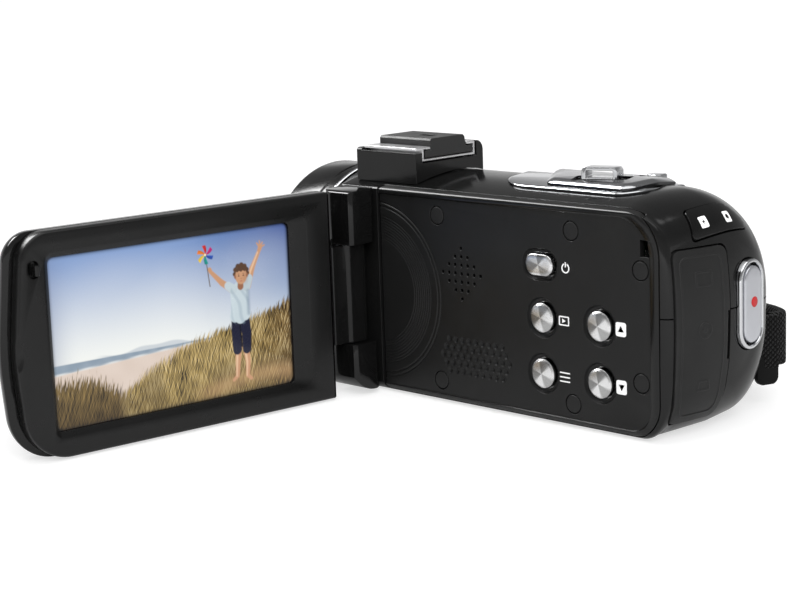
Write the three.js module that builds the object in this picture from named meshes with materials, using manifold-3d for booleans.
// A compact camcorder with a screen that swings out and swivels.
// Millimetres. +Z is up, the lens looks towards -Y and the screen side is +X.
// The origin is on the flat base, under the middle of the body.

import * as THREE from "three";
import { mergeVertices } from "three/addons/utils/BufferGeometryUtils.js";
import Module from "manifold-3d";

const wasm = await Module();
wasm.setup();

// ---------------------------------------------------------------- driving dimensions

const GAP = 0.3; // between pieces that touch on the real object
const DEG = Math.PI / 180;

const BODY = {
  left: 22.5, // flat screen-side face
  right: -22.5,
  base: 0,
  rim: 50.8, // top edge of the screen-side face
  crown: 53.6, // highest line of the dome
  crownX: 2,
  front: -30.5, // joint between the shells and the front housing
  wall: 2,
  seam: 28, // height of the joint between the upper and lower shell
};

const REAR = {
  sideEnd: 54.2, // where the screen-side face starts to turn round to the rear
  topCorner: 10,
  baseCorner: 7.2,
  rightStart: 38, // where the hand side starts to turn round to the rear
  topStart: 43.8,
  baseStart: 47,
  peak: 60.6, // rearmost line of the crowned rear face
  peakX: 1.5,
  peakZ: 28,
  crownAcross: 0.0085, // fall of the crown per square millimetre
  crownUp: 0.006,
  crownDown: 0.003,
  patch: { left: 19.8, right: -6, low: 12, high: 44.5 }, // limits of the rear face proper
  thickness: 4.5,
  steps: 7,
};

const BASE_THICKNESS = 3.2;

const LENS = {
  x: 0.5,
  z: 28,
  radius: 25,
  hoodFront: -69,
  ringY: -54.2,
  ringWidth: 1,
  mouth: 17,
  bore: 14,
  glassY: -61.5,
  morphStart: -43,
};

const HINGE = {
  x: 27.96,
  y: -37.36,
  pin: 2,
  bore: 2.3,
  lugOut: 32, // outermost plane of the hinge housings
  lugFront: -41.5,
  lugRound: 7.45, // keeps the housings inside the sweep of the panel's edge
  upper: [37.6, 50.7],
  lower: [1.1, 12.9],
  barrelHalf: 4.7,
  barrelCorner: 3.6,
  armReach: 7.2,
  armHalf: 4.2,
  open: 95.2, // angle of the panel to the side face when open
};

const PANEL = {
  edge: 7.66, // from the hinge axis to the panel's hinge-side edge
  bezelLength: 85.9,
  shellLength: 88.2,
  low: 0.3,
  high: 51,
  half: 5.05, // half thickness
  taper: { far: 6.5, near: 0.8, side: 1.5 }, // how much smaller the back shell is at its back
  seam: 1.35,
  bow: 3, // how far the far edge falls back at its top
  bowZ: 24,
  front: 1.25, // thickness of the bezel's front plate
  back: 1.45,
  window: { from: 12, to: 76.8, low: 6.2, high: 45.1 },
  pocket: { from: 9.5, to: 79, low: 4, high: 47.2 },
  shaft: 2.2,
  shaftBore: 2.6,
  hook: { at: 80.7, z: 43.1, length: 1.9, width: 1.1, height: 2.4 },
};

const SIDE_COVER = { inner: 20.5, frontCorner: 1.5, low: 0.7, high: 50.6, front: -30.2, back: 53.9 };

const ROUND_BUTTON = { radius: 3.4, hole: 3.75, flange: 4.3, face: 22.7 };
const DISH = { spread: 0.65, depth: 0.6 }; // the shallow recess round each side button
const ROUND_BUTTONS = {
  mode_button: [21.4, 24.4],
  menu_button: [21.4, 11.4],
  up_button: [38.1, 24.4],
  down_button: [38.1, 11.4],
};
const POWER_BUTTON = { y: 21, z: 36.6, length: 8.2, height: 5 };

const CAP = { radius: 2.15, depth: 0.9 };
const CAPS = [
  [-11.1, 45.3],
  [30.2, 45.1],
  [49.7, 38],
  [49.7, 13],
  [30.2, 5.5],
  [-11.1, 5.3],
];

const SPEAKER = { y: -3.6, z: 32, radius: 8, depth: 4 };
const LATCH_SLOT = { y: [49.7, 52.2], z: [41.1, 44.8] };

const SHOE = {
  left: 19,
  right: -4.8,
  front: -41,
  back: -20.5,
  top: 60.5,
  floor: 56.6,
  half: 9.6, // half width of the channel in the block
  lip: 6.4, // half width between the metal lips
  metal: 0.6,
  coverTop: 62.2,
};

const PLATE = { left: 14.6, right: -12, front: -8.5, back: 42.3, lift: 1, islandLift: 1.7 };
const ZOOM = { x: 7, y: 27.3, width: 4.4, length: 8.6, height: 2.8, travel: 2, turn: 19, slot: 1.1 };
const PHOTO = { x: -7.8, y: 31.4, width: 3.8, length: 4.4, low: 53.4, height: 1.3, travel: 0.5, stem: 1.2 };

const REC = { x: -3, z: 28, width: 9.6, height: 20.3, rim: 0.9, turn: 3, proud: 0.9, depth: 2.4 };
const DOOR = {
  left: 20.3,
  right: 5,
  low: 4,
  high: 42.5,
  corner: 2.2,
  slant: { from: 16, by: 1.6 }, // how the right edge runs in towards its foot
  proud: 0.5,
  depth: 1.5,
  swing: 0.6,
  strip: 2.1, // the thin strip that the door swings on
  stripDepth: 0.7,
};
const WINDOW = { left: 12.6, right: -5.2, y: 57, z: 48, height: 6.8, tilt: 42, proud: 0.25, depth: 1.4 };

const BATTERY = { x: [0, 10], y: [4.5, 44], z: [3.6, 39] };
const CARD = { x: [-3, -0.9], y: [12, 36], z: [3.6, 35.6] };
const BATTERY_DOOR = { x: [-4.2, 13.2], y: [3, 46], z: [0.15, 1.75], corner: 2 };
const CATCH = { x: 9, y: -2.6, length: 4.4, width: 6, depth: 1.6 };
const TRIPOD = { x: 4, y: -14, radius: 5, bore: 3.18, height: 7 };

const STRAP = { z: 16.5, height: 13, thickness: 2, padHeight: 27, padThickness: 4 };

const STEPS = { ring: 28, small: 18, corner: 4 };

// ---------------------------------------------------------------- materials

const material = (color, roughness, metalness = 0) =>
  new THREE.MeshStandardMaterial({ color, roughness, metalness });

const MATERIAL = {
  satin: material(0x1b1b1c, 0.5),
  gloss: material(0x0c0c0d, 0.12),
  matte: material(0x222223, 0.75),
  rubber: material(0x202021, 0.85),
  chrome: material(0xd9dadc, 0.12, 1),
  silver: material(0xb4b6b9, 0.32, 0.9),
  steel: material(0x9b9da0, 0.35, 1),
  brass: material(0xb89a55, 0.3, 1),
  glass: material(0x1a2030, 0.03),
  display: material(0x8fb4dc, 0.1),
  board: material(0x1f5b34, 0.55),
  battery: material(0x3a3d42, 0.5),
  fabric: material(0x161617, 0.95),
  lamp: material(0xf3f0df, 0.2),
  white: material(0xd9d9d6, 0.5),
};

// ---------------------------------------------------------------- solids and their joins

// Turns a closed three.js geometry into a manifold-3d solid.
function solid(geometry) {
  const bare = geometry.clone();
  bare.deleteAttribute("normal");
  bare.deleteAttribute("uv");
  const merged = mergeVertices(bare, 1e-4);
  return new wasm.Manifold(
    new wasm.Mesh({
      numProp: 3,
      vertProperties: merged.attributes.position.array,
      triVerts: new Uint32Array(merged.index.array),
    }),
  );
}

function meshOf(name, shape, finish) {
  const data = shape.getMesh();
  const geometry = new THREE.BufferGeometry();
  geometry.setAttribute("position", new THREE.BufferAttribute(data.vertProperties, 3));
  geometry.setIndex(new THREE.BufferAttribute(data.triVerts, 1));
  geometry.computeVertexNormals();
  const mesh = new THREE.Mesh(geometry, finish);
  mesh.name = name;
  return mesh;
}

const join = (...shapes) => shapes.reduce((a, b) => a.add(b));
const cut = (shape, ...tools) => tools.reduce((a, b) => a.subtract(b), shape);
const common = (...shapes) => shapes.reduce((a, b) => a.intersect(b));

function box([x0, x1], [y0, y1], [z0, z1]) {
  const geometry = new THREE.BoxGeometry(x1 - x0, y1 - y0, z1 - z0);
  geometry.translate((x0 + x1) / 2, (y0 + y1) / 2, (z0 + z1) / 2);
  return solid(geometry);
}

// Lays local X, Y, Z of an extruded or turned shape on the axes it is named for.
const LAY = {
  z: new THREE.Matrix4(),
  x: new THREE.Matrix4().makeBasis(
    new THREE.Vector3(0, 1, 0),
    new THREE.Vector3(0, 0, 1),
    new THREE.Vector3(1, 0, 0),
  ),
  y: new THREE.Matrix4().makeBasis(
    new THREE.Vector3(0, 0, 1),
    new THREE.Vector3(1, 0, 0),
    new THREE.Vector3(0, 1, 0),
  ),
};

// A prism of an outline. Along z the outline is [x, y], along x it is [y, z], along y it is [x, z].
function prism(outline, axis, [from, to]) {
  const points = outline.map(([a, b]) => (axis === "y" ? new THREE.Vector2(b, a) : new THREE.Vector2(a, b)));
  const geometry = new THREE.ExtrudeGeometry(new THREE.Shape(points), {
    depth: to - from,
    bevelEnabled: false,
  });
  geometry.translate(0, 0, from);
  geometry.applyMatrix4(LAY[axis]);
  return solid(geometry);
}

// A turned shape about an axis through centre; profile points are [radius, distance along the axis].
function turned(profile, axis, [a, b], segments = STEPS.ring) {
  const points = profile.map(([r, h]) => new THREE.Vector2(r, h));
  const geometry = new THREE.LatheGeometry(points, segments);
  geometry.rotateX(Math.PI / 2);
  geometry.applyMatrix4(LAY[axis]);
  const place = { x: [0, a, b], y: [a, 0, b], z: [a, b, 0] }[axis];
  geometry.translate(...place);
  const shape = solid(geometry);
  return shape.volume() < 0 ? turned([...profile].reverse(), axis, [a, b], segments) : shape;
}

function disc(radius, axis, centre, [from, to], segments = STEPS.ring) {
  return turned([[0, from], [radius, from], [radius, to], [0, to]], axis, centre, segments);
}

// Rounds each corner [x, y, radius] of a closed outline.
function rounded(corners, steps = STEPS.corner) {
  const outline = [];
  corners.forEach(([x, y, radius], i) => {
    const before = corners[(i + corners.length - 1) % corners.length];
    const after = corners[(i + 1) % corners.length];
    const here = new THREE.Vector2(x, y);
    const back = new THREE.Vector2(before[0], before[1]).sub(here).normalize();
    const on = new THREE.Vector2(after[0], after[1]).sub(here).normalize();
    const half = Math.acos(THREE.MathUtils.clamp(back.dot(on), -1, 1)) / 2;
    if (!radius) {
      outline.push([x, y]);
      return;
    }
    const centre = here.clone().addScaledVector(back.clone().add(on).normalize(), radius / Math.sin(half));
    const first = here.clone().addScaledVector(back, radius / Math.tan(half)).sub(centre);
    const sweep = Math.sign(back.cross(on)) * (Math.PI - 2 * half);
    for (let k = 0; k <= steps; k++) {
      const spoke = first.clone().rotateAround(new THREE.Vector2(), (-sweep * k) / steps);
      outline.push([centre.x + spoke.x, centre.y + spoke.y]);
    }
  });
  return outline;
}

const roundedBox = ([x0, x1], [y0, y1], radius, steps) =>
  rounded([[x0, y0, radius], [x1, y0, radius], [x1, y1, radius], [x0, y1, radius]], steps);

// A closed skin through rings that all have the same number of points, capped at both ends.
function loft(rings) {
  const count = rings[0].length;
  const points = rings.flat();
  const faces = [];
  for (let i = 0; i + 1 < rings.length; i++) {
    for (let j = 0; j < count; j++) {
      const a = i * count + j;
      const b = i * count + ((j + 1) % count);
      faces.push(a, b, b + count, a, b + count, a + count);
    }
  }
  for (const [ring, flip] of [[0, true], [rings.length - 1, false]]) {
    const centre = points.length;
    const mean = [0, 1, 2].map((k) => rings[ring].reduce((sum, p) => sum + p[k], 0) / count);
    points.push(mean);
    for (let j = 0; j < count; j++) {
      const a = ring * count + j;
      const b = ring * count + ((j + 1) % count);
      faces.push(centre, flip ? b : a, flip ? a : b);
    }
  }
  const geometry = new THREE.BufferGeometry();
  geometry.setAttribute("position", new THREE.Float32BufferAttribute(points.flat(), 3));
  geometry.setIndex(faces);
  const shape = solid(geometry);
  if (shape.volume() >= 0) return shape;
  geometry.setIndex(faces.reverse());
  return solid(geometry);
}

// ---------------------------------------------------------------- the body's outer form

function arc(cx, cz, rx, rz, from, to, steps) {
  return Array.from({ length: steps + 1 }, (_, i) => {
    const angle = (from + ((to - from) * i) / steps) * DEG;
    return [cx + rx * Math.cos(angle), cz + rz * Math.sin(angle)];
  });
}

// The D-shaped cross-section, as [x, z] points, with every wall moved in by inset.
function bodySection(inset = 0, baseInset = inset) {
  const left = BODY.left - inset;
  const right = BODY.right + inset;
  const base = BODY.base + baseInset;
  const crown = BODY.crown - inset;
  const rim = BODY.rim - inset;
  const corner = 3;
  const shoulder = 1.6;
  const run = left - shoulder - BODY.crownX;
  const rise = crown - rim;
  const domeRadius = (run * run + rise * rise) / (2 * rise);
  const domeEdge = Math.acos(run / domeRadius) / DEG;
  const handBase = { x: -6.5, z: 20 };
  const handTop = 29;
  return [
    ...arc(left - corner, base + corner, corner, corner, -90, 0, 3),
    ...[13, 26, 39].map((z) => [left, z]),
    ...arc(left - shoulder, rim - shoulder, shoulder, shoulder, 0, domeEdge, 2),
    ...arc(BODY.crownX, crown - domeRadius, domeRadius, domeRadius, domeEdge, 90, 5).slice(1),
    ...arc(BODY.crownX, handTop, BODY.crownX - right, crown - handTop, 90, 180, 9).slice(1),
    ...arc(handBase.x, handBase.z, handBase.x - right, handBase.z - base, 180, 270, 8),
    [2, base],
    [11, base],
  ];
}

// Where along Y a line of the section starts to turn round to the rear face.
function rearStart(x, z) {
  if (x > 19) {
    const over = Math.max(0, z - (BODY.rim - REAR.topCorner)) / REAR.topCorner;
    const under = Math.max(0, REAR.baseCorner - z) / REAR.baseCorner;
    const drop = (share, radius) => radius * (1 - Math.sqrt(Math.max(0, 1 - share * share)));
    return REAR.sideEnd - drop(over, REAR.topCorner) - drop(under, REAR.baseCorner);
  }
  const edge = z > BODY.seam ? REAR.topStart : REAR.baseStart;
  const share = THREE.MathUtils.clamp((x - BODY.right) / (BODY.crownX - BODY.right), 0, 1);
  return REAR.rightStart + (edge - REAR.rightStart) * share;
}

// The crowned rear face.
function rearFace(x, z) {
  const up = z - REAR.peakZ;
  const bend = up > 0 ? REAR.crownUp : REAR.crownDown;
  return REAR.peak - REAR.crownAcross * (x - REAR.peakX) ** 2 - bend * up * up;
}

// The whole body behind the front housing, every wall moved in by inset.
function bodyForm(inset = 0, rearInset = inset, baseInset = inset) {
  const section = bodySection(inset, baseInset);
  const { left, right, low, high } = REAR.patch;
  const onFace = ([x, z]) => {
    const px = right + ((x - BODY.right) * (left - right)) / (BODY.left - BODY.right);
    const pz = low + (z * (high - low)) / BODY.crown;
    return [px, pz];
  };
  const rings = [section.map(([x, z]) => [x, BODY.front - 5, z])];
  for (let i = 0; i <= REAR.steps; i++) {
    const turn = (i / REAR.steps) * 90 * DEG;
    rings.push(
      section.map(([x, z]) => {
        const [px, pz] = onFace([x, z]);
        const start = rearStart(x, z) - rearInset;
        const end = rearFace(px, pz) - rearInset;
        const out = Math.cos(turn);
        return [px + (x - px) * out, start + (end - start) * Math.sin(turn), pz + (z - pz) * out];
      }),
    );
  }
  const centre = [(left + right) / 2, (low + high) / 2];
  for (const size of [0.65, 0.3]) {
    rings.push(
      section.map((point) => {
        const [px, pz] = onFace(point);
        const x = centre[0] + (px - centre[0]) * size;
        const z = centre[1] + (pz - centre[1]) * size;
        return [x, rearFace(x, z) - rearInset, z];
      }),
    );
  }
  return loft(rings);
}

// The front housing's form: the body's section turning into the round of the lens hood.
function frontForm(inset, back, front) {
  const section = bodySection(inset);
  const stations = [back, LENS.morphStart, -45, -47, -49, -51, front];
  return loft(
    stations.map((y) => {
      const share = THREE.MathUtils.smoothstep(-y, -LENS.morphStart, 53);
      return section.map(([x, z]) => {
        const angle = Math.atan2(z - LENS.z, x - LENS.x);
        const reach = LENS.radius - 0.3 - inset;
        const round = [LENS.x + reach * Math.cos(angle), LENS.z + reach * Math.sin(angle)];
        return [x + (round[0] - x) * share, y, z + (round[1] - z) * share];
      });
    }),
  );
}

// The skin between two insets of the body's form, inside a prism.
const skin = (outer, inner, region) => common(cut(bodyForm(outer), bodyForm(inner)), region);

// ---------------------------------------------------------------- casing

function sideOutline(grow = 0) {
  const { front, back, low, high, frontCorner } = SIDE_COVER;
  return rounded([
    [front - grow, low - grow, frontCorner],
    [back + grow, low - grow, REAR.baseCorner + grow],
    [back + grow, high + grow, REAR.topCorner + grow],
    [front - grow, high + grow, frontCorner],
  ]);
}

const oblong = (y, z, length, height) =>
  roundedBox([y - length / 2, y + length / 2], [z - height / 2, z + height / 2], height / 2 - 0.05, 5);

function sideCover() {
  const plate = common(bodyForm(), prism(sideOutline(), "x", [SIDE_COVER.inner, 30]));
  const through = [SIDE_COVER.inner - 1, 30];
  const { y, z, length, height } = POWER_BUTTON;
  const dishFloor = BODY.left - DISH.depth;
  const wide = 0.7 + 2 * DISH.spread;
  const holes = [
    prism(oblong(y, z, length + 0.7, height + 0.7), "x", through),
    prism(oblong(y, z, length + wide, height + wide), "x", [dishFloor, 30]),
  ];
  for (const [by, bz] of Object.values(ROUND_BUTTONS)) {
    const { hole } = ROUND_BUTTON;
    const rim = [hole + DISH.spread + 0.01, BODY.left + 0.01];
    holes.push(disc(hole, "x", [by, bz], through, STEPS.small));
    holes.push(turned([[0, dishFloor], [hole, dishFloor], rim, [0, rim[1]]], "x", [by, bz], STEPS.small));
  }
  for (const [cy, cz] of CAPS) {
    const floor = BODY.left - CAP.depth - GAP;
    holes.push(disc(CAP.radius + GAP, "x", [cy, cz], [floor, 30], STEPS.small));
  }
  holes.push(box(through, LATCH_SLOT.y, LATCH_SLOT.z));
  return cut(plate, ...holes);
}

function screwCap([y, z]) {
  return disc(CAP.radius, "x", [y, z], [BODY.left - CAP.depth, BODY.left + 0.1], STEPS.small);
}

// The hollow shell behind the side cover's opening, before it is parted at the seam.
function bodyShell() {
  const hollow = cut(bodyForm(), bodyForm(BODY.wall, REAR.thickness, BASE_THICKNESS));
  const trimmed = common(hollow, box([-40, 40], [BODY.front, 90], [-5, 80]));
  return cut(trimmed, prism(sideOutline(GAP), "x", [SIDE_COVER.inner - GAP, 40]));
}

const SHELL = bodyShell();

// The port door's outline; the pocket is wider on the side that swings out.
function doorOutline(grow, swing = 0) {
  const { left, low, high, corner, slant } = DOOR;
  const right = DOOR.right - grow - swing;
  return rounded([
    [right + slant.by, low - grow, corner],
    [left + grow, low - grow, corner],
    [left + grow, high + grow, corner],
    [right, high + grow, corner],
    [right, slant.from, 20],
  ]);
}

const doorPocket = () =>
  cut(prism(doorOutline(GAP, DOOR.swing), "y", [50, 80]), bodyForm(DOOR.depth + GAP));

const SOCKETS = [
  { name: "microphone_socket", z: 35.5, size: 5, round: true },
  { name: "video_socket", z: 23.5, size: 11.5, height: 3.4 },
  { name: "usb_socket", z: 12.4, size: 8, height: 3.2 },
];
const SOCKET_X = 12;
const SOCKET_DEPTH = 9;

function socketOutline({ z, size, height = size }, grow) {
  const halfWidth = height / 2 + grow;
  const halfHeight = size / 2 + grow;
  return roundedBox([SOCKET_X - halfWidth, SOCKET_X + halfWidth], [z - halfHeight, z + halfHeight], 0.8, 2);
}

function recFrame(shape) {
  return shape.rotate([0, 0, REC.turn]).translate([REC.x, rearFace(REC.x, REC.z), REC.z]);
}

const recOutline = (inset) => {
  const halfWidth = REC.width / 2 - inset;
  const halfHeight = REC.height / 2 - inset;
  return roundedBox([-halfWidth, halfWidth], [-halfHeight, halfHeight], halfWidth - 0.05, 6);
};

function windowPrism(grow, [from, to]) {
  const halfWidth = (WINDOW.left - WINDOW.right) / 2 + grow;
  const halfHeight = WINDOW.height / 2 + grow;
  const outline = rounded([
    [-halfWidth + 0.8, -halfHeight, 1.2],
    [halfWidth - 0.2, -halfHeight, 1.2],
    [halfWidth, halfHeight, 1.6],
    [-halfWidth + 4.2, halfHeight, 2],
    [-halfWidth, -halfHeight + 2.4, 1.8],
  ]);
  return prism(outline, "y", [from, to])
    .rotate([WINDOW.tilt, 0, 0])
    .translate([(WINDOW.left + WINDOW.right) / 2, WINDOW.y, WINDOW.z]);
}

function upperShell() {
  const half = common(SHELL, box([-40, 40], [-60, 90], [BODY.seam + GAP / 2, 80]));
  return cut(
    half,
    doorPocket(),
    ...SOCKETS.map((socket) => prism(socketOutline(socket, GAP), "y", [50, 80])),
    recFrame(prism(recOutline(-GAP), "y", [-REC.depth, 10])),
    cut(windowPrism(GAP, [-20, 20]), bodyForm(WINDOW.depth + GAP)),
    zoomSlot(),
    photoHole(),
  );
}

function lowerShell() {
  const half = common(SHELL, box([-40, 40], [-60, 90], [-5, BODY.seam - GAP / 2]));
  const [x0, x1] = BATTERY_DOOR.x;
  const [y0, y1] = BATTERY_DOOR.y;
  const pocket = roundedBox([x0 - GAP, x1 + GAP], [y0 - GAP, y1 + GAP], BATTERY_DOOR.corner);
  const bay = box([CARD.x[0] - 0.5, BATTERY.x[1] + 1.3], [BATTERY.y[0] - 1.2, BATTERY.y[1] + 1.2], [-1, 6]);
  const catchPocket = box(
    [CATCH.x - CATCH.width / 2 - GAP, CATCH.x + CATCH.width / 2 + GAP],
    [CATCH.y - CATCH.length - 1.8, y0],
    [-1, CATCH.depth + 0.6],
  );
  return cut(
    half,
    doorPocket(),
    ...SOCKETS.map((socket) => prism(socketOutline(socket, GAP), "y", [50, 80])),
    recFrame(prism(recOutline(-GAP), "y", [-REC.depth, 10])),
    prism(pocket, "z", [-1, BATTERY_DOOR.z[1] + GAP]),
    bay,
    catchPocket,
    disc(TRIPOD.radius + GAP, "z", [TRIPOD.x, TRIPOD.y], [-1, 6], STEPS.small),
  );
}

function frontHousing() {
  const back = BODY.front - GAP;
  const front = LENS.ringY + LENS.ringWidth + GAP;
  return cut(frontForm(0, back, front), frontForm(BODY.wall, back + 1, front - 1));
}

// A hinge housing stands off the side face around the end of the pin.
function hingeHousing([low, high], lowCorner, highCorner, [boreFrom, boreTo]) {
  const plan = rounded([
    [BODY.left + GAP, HINGE.lugFront, 0.5],
    [HINGE.lugOut, HINGE.lugFront, 4.5],
    [HINGE.lugOut, BODY.front, 0.4],
    [BODY.left + GAP, BODY.front, 0],
  ]);
  const front = rounded([
    [BODY.left, low, 0],
    [HINGE.lugOut + 1, low, lowCorner],
    [HINGE.lugOut + 1, high, highCorner],
    [BODY.left, high, 0],
  ]);
  const sweep = disc(HINGE.lugRound, "z", [HINGE.x, HINGE.y], [low - 1, high + 1], 48);
  const block = common(prism(plan, "z", [low, high]), prism(front, "y", [-50, -20]), sweep);
  return cut(block, disc(HINGE.bore, "z", [HINGE.x, HINGE.y], [boreFrom, boreTo], STEPS.small));
}

// ---------------------------------------------------------------- lens end

const ring = (profile) => turned(profile, "y", [LENS.x, LENS.z]);

function lensHood() {
  const { radius, hoodFront, mouth, bore, glassY } = LENS;
  const back = LENS.ringY - GAP;
  const shape = ring([
    [mouth, hoodFront + 0.6],
    [mouth + 0.8, hoodFront],
    [radius - 1.6, hoodFront],
    [radius - 0.2, hoodFront + 1.4],
    [radius - 0.2, back],
    [bore, back],
    [bore, glassY - 0.2],
    [mouth, hoodFront + 0.6],
  ]);
  return cut(shape, prism(lightOutline(GAP), "y", [hoodFront - 1, hoodFront + 3.4]));
}

const lightOutline = (grow) =>
  roundedBox(
    [LENS.x - 3.4 - grow, LENS.x + 3.4 + grow],
    [LENS.z + 19 - grow, LENS.z + 22.4 + grow],
    1.5,
  );

function trimRing() {
  const from = LENS.ringY;
  const to = from + LENS.ringWidth;
  return ring([
    [LENS.radius - 1.4, from],
    [LENS.radius + 0.2, from],
    [LENS.radius + 0.2, to],
    [LENS.radius - 1.4, to],
    [LENS.radius - 1.4, from],
  ]);
}

// A disc of glass whose front bulges towards -Y and whose back bulges towards +Y.
function lensElement(radius, middle, edge, frontBulge, backBulge) {
  const front = middle - edge / 2;
  const back = middle + edge / 2;
  return ring([
    [0, front - frontBulge],
    [radius * 0.55, front - frontBulge * 0.7],
    [radius, front],
    [radius, back],
    [radius * 0.55, back + backBulge * 0.7],
    [0, back + backBulge],
  ]);
}

function lensBarrel() {
  return ring([
    [11.4, -59],
    [13.6, -59],
    [13.6, -32],
    [11.4, -32],
    [11.4, -59],
  ]);
}

function sensorBoard() {
  const board = box([LENS.x - 14, LENS.x + 14], [-31.4, -29.8], [LENS.z - 13, LENS.z + 13]);
  const sensor = box([LENS.x - 4, LENS.x + 4], [-33, -31.2], [LENS.z - 3, LENS.z + 3]);
  return join(board, sensor);
}

// ---------------------------------------------------------------- inside the body

function buttonBoard() {
  const board = box([15.6, 17.2], [15, 45], [5, 43]);
  const centres = [...Object.values(ROUND_BUTTONS), [POWER_BUTTON.y, POWER_BUTTON.z]];
  const domes = centres.map((centre) =>
    turned([[0, 17], [2, 17], [1.4, 17.6], [0, 17.8]], "x", centre, 12),
  );
  return join(board, ...domes);
}

function mainBoard() {
  const board = box([12.8, 14.4], [-22, 44], [8, 44]);
  const chips = [
    box([11.6, 13], [-16, -4], [30, 41]),
    box([11.6, 13], [-16, -6], [14, 23]),
    box([13.8, 15.2], [-2, 8], [10, 20]),
  ];
  return join(board, ...chips);
}

function speaker() {
  const back = SIDE_COVER.inner - GAP;
  return turned(
    [[0, back - SPEAKER.depth], [5, back - SPEAKER.depth], [SPEAKER.radius, back - 2],
      [SPEAKER.radius, back], [0, back]],
    "x",
    [SPEAKER.y, SPEAKER.z],
    24,
  );
}

function batteryBay() {
  const [x0, x1] = BATTERY.x;
  const [y0, y1] = BATTERY.y;
  const outer = box([x0 - 0.8 + 0.2, x1 + 1], [y0 - 0.9, y1 + 0.9], [2.6, 40.4]);
  const inner = box([x0 - 0.2, x1 + 0.3], [y0 - GAP, y1 + GAP], [1, 39.4]);
  return cut(outer, inner);
}

function tripodSocket() {
  const centre = [TRIPOD.x, TRIPOD.y];
  const bush = disc(TRIPOD.radius, "z", centre, [0.1, TRIPOD.height], STEPS.small);
  return cut(bush, disc(TRIPOD.bore, "z", centre, [-1, TRIPOD.height - 1], STEPS.small));
}

function socket(item) {
  const mouth = rearFace(SOCKET_X, item.z) - REAR.thickness + 0.6;
  const shell = prism(socketOutline(item, 0), "y", [mouth - SOCKET_DEPTH, mouth]);
  const hollow = [mouth - SOCKET_DEPTH + 2, mouth + 9];
  const hole = item.round
    ? disc(1.8, "y", [SOCKET_X, item.z], hollow, 16)
    : prism(socketOutline(item, -0.6), "y", hollow);
  return cut(shell, hole);
}

// ---------------------------------------------------------------- top

function shoeBlock() {
  const { left, right, front, back, top, floor, half } = SHOE;
  const middle = (left + right) / 2;
  const outline = rounded([
    [right, 48, 0],
    [left, 48, 0],
    [left, top - 0.8, 0.8],
    [right, top, 2.4],
  ]);
  const block = prism(outline, "y", [front, back]);
  const seat = loft(
    [front - 1, back + 1].map((y) => bodySection(-GAP).map(([x, z]) => [x, y, z])),
  );
  const channel = box([middle - half, middle + half], [front + 1.8, back + 1], [floor, top + 5]);
  const lipStep = box([middle + half - 1, left + 1], [front + 1.8, back + 1], [top - 1.4, top + 5]);
  return cut(block, seat, channel, lipStep);
}

function shoeRails() {
  const { left, right, front, back, floor, half, lip, metal, top } = SHOE;
  const middle = (left + right) / 2;
  const low = floor + GAP;
  const wall = half - GAP;
  const lipTop = top - 0.2;
  const lipLow = lipTop - metal;
  const profile = [
    [-wall, low],
    [wall, low],
    [wall, lipLow],
    [left - middle - 0.5, lipLow],
    [left - middle - 0.5, lipTop],
    [lip, lipTop],
    [lip, lipLow],
    [wall - metal, lipLow],
    [wall - metal, low + metal],
    [-wall + metal, low + metal],
    [-wall + metal, lipLow],
    [-lip, lipLow],
    [-lip, lipTop],
    [-wall, lipTop],
  ].map(([x, z]) => [x + middle, z]);
  return prism(profile, "y", [front + 2.1, back - GAP]);
}

// The slide-in cover of the shoe: a flange under the lips and a raised middle with a sloping end.
function shoeCover() {
  const { left, right, front, back, floor, half, lip, metal, coverTop, top } = SHOE;
  const middle = (left + right) / 2;
  const low = floor + GAP + metal + GAP;
  const flangeTop = top - 0.2 - metal - GAP;
  const flange = half - GAP - metal - GAP;
  const profile = [
    [-flange, low],
    [flange, low],
    [flange, flangeTop],
    [lip - GAP, flangeTop],
    [lip - GAP, coverTop - 0.5],
    [lip - GAP - 0.5, coverTop],
    [-lip + GAP + 0.5, coverTop],
    [-lip + GAP, coverTop - 0.5],
    [-lip + GAP, flangeTop],
    [-flange, flangeTop],
  ].map(([x, z]) => [x + middle, z]);
  const body = prism(profile, "y", [front + 2.4, back - 0.1]);
  const slope = prism([[back - 2.2, 70], [back - 0.1 + 0.01, low + 0.6], [back + 5, low], [back + 5, 70]],
    "x", [-40, 40]);
  const dent = box([middle - 1.2, middle + 1.2], [-30, -25.5], [coverTop - 0.5, coverTop + 1]);
  return cut(body, slope, dent);
}

function plateOutline() {
  const { left, right, front, back } = PLATE;
  return rounded([
    [right, front, 6],
    [left, 3.2, 6],
    [left, 38.5, 4],
    [10.5, back, 3],
    [right + 5, back - 1.5, 4],
    [right, 34, 8],
  ]);
}

const islandOutline = () =>
  rounded([[-8, 1.6, 4], [12.6, 15.2, 3], [12.6, 39.2, 3], [4, 40.6, 6], [-6, 38.4, 3], [-8, 36, 3]]);

// Turns and places what is drawn about the zoom lever's middle, with Y along its travel.
const zoomFrame = (shape) => shape.rotate([0, 0, ZOOM.turn]).translate([ZOOM.x, ZOOM.y, 0]);

const zoomSlot = () =>
  zoomFrame(box([-ZOOM.slot, ZOOM.slot], [-ZOOM.travel - 2.1, ZOOM.travel + 2.1], [46, 60]));

const photoHole = () => disc(PHOTO.stem + GAP, "z", [PHOTO.x, PHOTO.y], [46, 60], 16);

function photoOutline(grow) {
  const { x, y, width, length } = PHOTO;
  const across = width / 2 + grow;
  const along = length / 2 + grow;
  return roundedBox([x - across, x + across], [y - along, y + along], 1.4 + grow);
}

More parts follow.
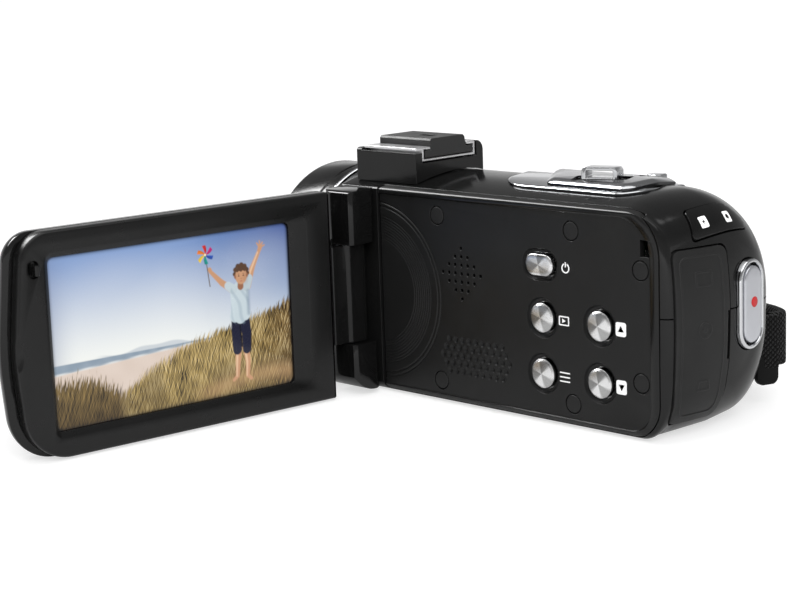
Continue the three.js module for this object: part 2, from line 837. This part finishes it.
function topPlate() {
  const plate = skin(-PLATE.lift, -GAP, prism(plateOutline(), "z", [45, 60]));
  const island = skin(-PLATE.islandLift, -0.8, prism(islandOutline(), "z", [45, 60]));
  const { width, length, travel } = ZOOM;
  const across = width / 2 + 0.5;
  const along = length / 2 + travel + 0.6;
  const well = box([-across, across], [-along, along], [BODY.crown + PLATE.lift, 60]);
  const seat = prism(photoOutline(GAP), "z", [PHOTO.low - PHOTO.travel - GAP, 60]);
  return cut(join(plate, island), zoomFrame(well), zoomSlot(), seat, photoHole());
}

// An arch to push with a finger, on a stem that slides in the plate's slot.
function zoomLever() {
  const { width, length, height } = ZOOM;
  const low = BODY.crown + PLATE.lift + GAP;
  const end = length / 2;
  const outer = rounded([
    [-end, low, 0.2],
    [end, low, 0.2],
    [end, low + height, 0.9],
    [-end, low + height, 0.9],
  ]);
  const arch = prism(outer, "x", [-width / 2, width / 2]);
  const gap = roundedBox([1.1 - end, end - 1.1], [low + 0.5, low + height - 0.7], 0.3, 2);
  const stem = box([-0.8, 0.8], [-1.8, 1.8], [49.4, low + 0.3]);
  return zoomFrame(join(cut(arch, prism(gap, "x", [-width, width])), stem));
}

function photoButton() {
  const { x, y, low, height, stem } = PHOTO;
  const cap = prism(photoOutline(0), "z", [low, low + height]);
  return join(cap, disc(stem, "z", [x, y], [48.4, low + 0.4], 16));
}

// ---------------------------------------------------------------- rear

function statusWindow() {
  return common(
    windowPrism(0, [-20, 20]),
    cut(bodyForm(-WINDOW.proud), bodyForm(WINDOW.depth)),
  );
}

function recRing() {
  const outer = prism(recOutline(0), "y", [-REC.depth + GAP, REC.proud]);
  return recFrame(cut(outer, prism(recOutline(REC.rim), "y", [-9, 9])));
}

function recButton() {
  return recFrame(prism(recOutline(REC.rim + GAP), "y", [-REC.depth + 1.2, REC.proud + 0.5]));
}

function portDoor() {
  const plate = skin(-DOOR.proud, DOOR.depth, prism(doorOutline(0), "y", [50, 80]));
  const nail = box([DOOR.right - 1, DOOR.right + 0.7], [50, 80], [BODY.seam - 11, BODY.seam]);
  const thinned = common(box([DOOR.left - DOOR.strip, DOOR.left + 1], [40, 80], [0, 60]), bodyForm(DOOR.stripDepth));
  return cut(plate, common(nail, cut(bodyForm(-3), bodyForm(0))), thinned);
}

// ---------------------------------------------------------------- base

function batteryDoor() {
  const outline = roundedBox(BATTERY_DOOR.x, BATTERY_DOOR.y, BATTERY_DOOR.corner);
  return prism(outline, "z", BATTERY_DOOR.z);
}

function batteryCatch() {
  const { x, y, length, width, depth } = CATCH;
  const slider = box([x - width / 2, x + width / 2], [y - length / 2, y + length / 2], [0.15, depth]);
  const grip = [-1.2, 0, 1.2].map((at) =>
    box([x - width / 2 - 1, x + width / 2 + 1], [y + at - 0.25, y + at + 0.25], [-1, 0.55]),
  );
  return cut(slider, ...grip);
}

// ---------------------------------------------------------------- hand strap

// Plan of the strap: a bow from the rear lug round the hand to the front lug.
const strapLine = new THREE.CatmullRomCurve3([
  new THREE.Vector3(-22, 53.6, 0),
  new THREE.Vector3(-26.8, 54.6, 0),
  new THREE.Vector3(-30.4, 49.5, 0),
  new THREE.Vector3(-34.4, 34, 0),
  new THREE.Vector3(-36.6, 10, 0),
  new THREE.Vector3(-33, -12, 0),
  new THREE.Vector3(-27.6, -24.5, 0),
]);

// A vertical band of the given thickness along a stretch of the strap's line.
function band(from, to, steps, [near, far], [low, high]) {
  const rings = [];
  for (let i = 0; i <= steps; i++) {
    const t = from + ((to - from) * i) / steps;
    const at = strapLine.getPointAt(t);
    const along = strapLine.getTangentAt(t);
    const inwards = new THREE.Vector3(-along.y, along.x, 0);
    const point = (depth, z) => [at.x + inwards.x * depth, at.y + inwards.y * depth, z];
    rings.push([point(near, low), point(far, low), point(far, high), point(near, high)]);
  }
  return loft(rings);
}

function handStrap() {
  const { z, height, thickness } = STRAP;
  return band(0, 1, 22, [0, thickness], [z - height / 2, z + height / 2]);
}

function strapPad() {
  const { z, padHeight, padThickness, thickness } = STRAP;
  const near = thickness + GAP;
  return band(0.28, 0.9, 12, [near, near + padThickness], [z - padHeight / 2, z + padHeight / 2]);
}

function strapLug(x, y, turn) {
  const { z, height } = STRAP;
  const block = box([-2.2, 2.2], [-2, 2], [z - height / 2 - 2, z + height / 2 + 2]);
  return cut(block.rotate([0, 0, turn]).translate([x, y, 0]), bodyForm(-GAP));
}

// ---------------------------------------------------------------- controls

function roundButton([y, z]) {
  const { radius, flange, face } = ROUND_BUTTON;
  const behind = SIDE_COVER.inner - GAP;
  return turned(
    [[0, 18.3], [flange, 18.3], [flange, behind], [radius, behind], [radius, face - 0.5],
      [radius - 0.6, face - 0.1], [0, face + 0.1]],
    "x",
    [y, z],
    STEPS.small,
  );
}

function powerButton() {
  const { y, z, length, height } = POWER_BUTTON;
  const behind = SIDE_COVER.inner - GAP;
  return join(
    prism(oblong(y, z, length + 1.6, height + 1.6), "x", [18.3, behind]),
    prism(oblong(y, z, length, height), "x", [behind - 0.1, ROUND_BUTTON.face]),
  );
}

// ---------------------------------------------------------------- hinge and screen
// These are drawn in the open screen's own frame: X along the panel from the hinge axis, Y out of the display.

function hingeBarrel() {
  const { barrelHalf, barrelCorner, armReach, armHalf, lower, upper, bore } = HINGE;
  const height = [lower[1] + GAP, upper[0] - GAP];
  const barrel = prism(
    roundedBox([-barrelHalf, barrelHalf], [-barrelHalf, barrelHalf], barrelCorner),
    "z",
    height,
  );
  const arm = prism(roundedBox([0, armReach], [-armHalf, armHalf], 0.6, 2), "z", height);
  const mid = (PANEL.low + PANEL.high) / 2;
  return cut(
    join(barrel, arm),
    disc(bore, "z", [0, 0], [0, 60], STEPS.small),
    disc(PANEL.shaft + GAP, "x", [0, mid], [3.2, 20], STEPS.small),
  );
}

function swivelShaft() {
  const mid = (PANEL.low + PANEL.high) / 2;
  return disc(PANEL.shaft, "x", [0, mid], [3.5, PANEL.edge + 9], STEPS.small);
}

// The panel's outline; a share of the taper moves every side in.
function panelOutline(length, share = 0) {
  const { bow, bowZ, taper } = PANEL;
  const near = PANEL.edge + taper.near * share;
  const far = PANEL.edge + length - taper.far * share;
  const low = PANEL.low + taper.side * share;
  const high = PANEL.high - taper.side * share;
  return rounded(
    [[near, low, 0.5], [far - 2, low, 11], [far, bowZ, 60], [far - bow, high, 7], [near, high, 0.5]],
    5,
  );
}

const panelBox = ({ from, to, low, high }, corner) =>
  roundedBox([PANEL.edge + from, PANEL.edge + to], [low, high], corner, 2);

const shaftBore = () =>
  disc(PANEL.shaftBore, "x", [0, (PANEL.low + PANEL.high) / 2], [0, PANEL.edge + 12], STEPS.small);

function screenBezel() {
  const { half, seam, front, hook } = PANEL;
  const at = PANEL.edge + hook.at;
  return cut(
    prism(panelOutline(PANEL.bezelLength), "y", [seam + GAP / 2, half]),
    prism(panelBox(PANEL.pocket, 1), "y", [0, half - front]),
    prism(panelBox(PANEL.window, 1.2), "y", [0, half + 1]),
    box([at - 1.4, at + 1.4], [half - 1.6, half + 1], [hook.z - 1.9, hook.z + 1.9]),
    shaftBore(),
  );
}

function screenBackShell() {
  const { half, seam, back } = PANEL;
  const front = seam - GAP / 2;
  const rings = [0, 0.4, 0.7, 0.88, 0.97, 1].map((depth) => {
    const share = 1 - Math.sqrt(1 - depth * depth);
    const y = front - depth * (front + half);
    return panelOutline(PANEL.shellLength, share).map(([x, z]) => [x, y, z]);
  });
  return cut(
    loft(rings),
    prism(panelBox(PANEL.pocket, 1), "y", [-half + back, half]),
    shaftBore(),
  );
}

function layer(inset, along) {
  const { from, to, low, high } = PANEL.pocket;
  const region = { from: from + inset, to: to - inset, low: low + inset, high: high - inset };
  return prism(panelBox(region, 1), "y", along);
}

function latchHook() {
  const { half, hook } = PANEL;
  const at = PANEL.edge + hook.at;
  const foot = half - 1.6 + GAP;
  const across = [at - hook.width / 2, at + hook.width / 2];
  return box(across, [foot, half + hook.length], [hook.z - hook.height / 2, hook.z + hook.height / 2]);
}

// ---------------------------------------------------------------- assembly

const camcorder = new THREE.Group();
const add = (name, shape, finish) => camcorder.add(meshOf(name, shape, finish));

add("side_cover", sideCover(), MATERIAL.satin);
CAPS.forEach((centre, i) => add(`screw_cap_${i + 1}`, screwCap(centre), MATERIAL.matte));
add("upper_shell", upperShell(), MATERIAL.satin);
add("lower_shell", lowerShell(), MATERIAL.satin);
add("front_housing", frontHousing(), MATERIAL.satin);
add("upper_hinge_housing", hingeHousing(HINGE.upper, 0.3, 2.4, [30, 48.8]), MATERIAL.gloss);
add("lower_hinge_housing", hingeHousing(HINGE.lower, 7.5, 0.3, [5.4, 20]), MATERIAL.gloss);
add("hinge_pin", disc(HINGE.pin, "z", [HINGE.x, HINGE.y], [5.8, 48.4], STEPS.small), MATERIAL.steel);

add("lens_hood", lensHood(), MATERIAL.satin);
add("lens_trim_ring", trimRing(), MATERIAL.chrome);
add("front_glass", lensElement(LENS.bore - GAP, -60.4, 1.4, 0.9, 0.2), MATERIAL.glass);
add("lens_barrel", lensBarrel(), MATERIAL.matte);
add("rear_lens_group", lensElement(11, -44, 3, 1.5, 1.5), MATERIAL.glass);
add("image_sensor_board", sensorBoard(), MATERIAL.board);
const lampDepth = [LENS.hoodFront + 0.1, LENS.hoodFront + 3.1];
add("fill_light", prism(lightOutline(0), "y", lampDepth), MATERIAL.lamp);
add("microphone", disc(3, "y", [-9, 44], [-42, -38], 16), MATERIAL.steel);

add("main_circuit_board", mainBoard(), MATERIAL.board);
add("button_board", buttonBoard(), MATERIAL.board);
add("speaker", speaker(), MATERIAL.matte);
add("battery_bay", batteryBay(), MATERIAL.white);
add("battery_pack", box(BATTERY.x, BATTERY.y, BATTERY.z), MATERIAL.battery);
add("memory_card", box(CARD.x, CARD.y, CARD.z), MATERIAL.battery);
add("tripod_socket", tripodSocket(), MATERIAL.brass);
SOCKETS.forEach((item) => add(item.name, socket(item), MATERIAL.steel));

add("shoe_block", shoeBlock(), MATERIAL.satin);
add("shoe_rails", shoeRails(), MATERIAL.steel);
add("shoe_cover", shoeCover(), MATERIAL.matte);
add("top_plate", topPlate(), MATERIAL.silver);
add("zoom_lever", zoomLever(), MATERIAL.chrome);
add("photo_button", photoButton(), MATERIAL.chrome);

add("status_window", statusWindow(), MATERIAL.gloss);
add("record_ring", recRing(), MATERIAL.chrome);
add("record_button", recButton(), MATERIAL.silver);
add("port_door", portDoor(), MATERIAL.rubber);
add("battery_door", batteryDoor(), MATERIAL.satin);
add("battery_catch", batteryCatch(), MATERIAL.satin);

add("hand_strap", handStrap(), MATERIAL.fabric);
add("strap_pad", strapPad(), MATERIAL.fabric);
add("rear_strap_lug", strapLug(-21, 49.4, -52), MATERIAL.satin);
add("front_strap_lug", strapLug(-25, -27.5, 0), MATERIAL.satin);

Object.entries(ROUND_BUTTONS).forEach(([name, at]) => add(name, roundButton(at), MATERIAL.chrome));
add("power_button", powerButton(), MATERIAL.chrome);

const screen = new THREE.Group();
screen.position.set(HINGE.x, HINGE.y, 0);
screen.rotation.z = (90 - HINGE.open) * DEG;
camcorder.add(screen);
const addToScreen = (name, shape, finish) => screen.add(meshOf(name, shape, finish));

addToScreen("hinge_barrel", hingeBarrel(), MATERIAL.matte);
addToScreen("swivel_shaft", swivelShaft(), MATERIAL.steel);
addToScreen("screen_bezel", screenBezel(), MATERIAL.satin);
addToScreen("screen_back_shell", screenBackShell(), MATERIAL.gloss);
addToScreen("display", layer(GAP, [2, 3.5]), MATERIAL.display);
addToScreen("backlight", layer(0.6, [-0.4, 1.7]), MATERIAL.white);
addToScreen("latch_hook", latchHook(), MATERIAL.satin);

export default camcorder;
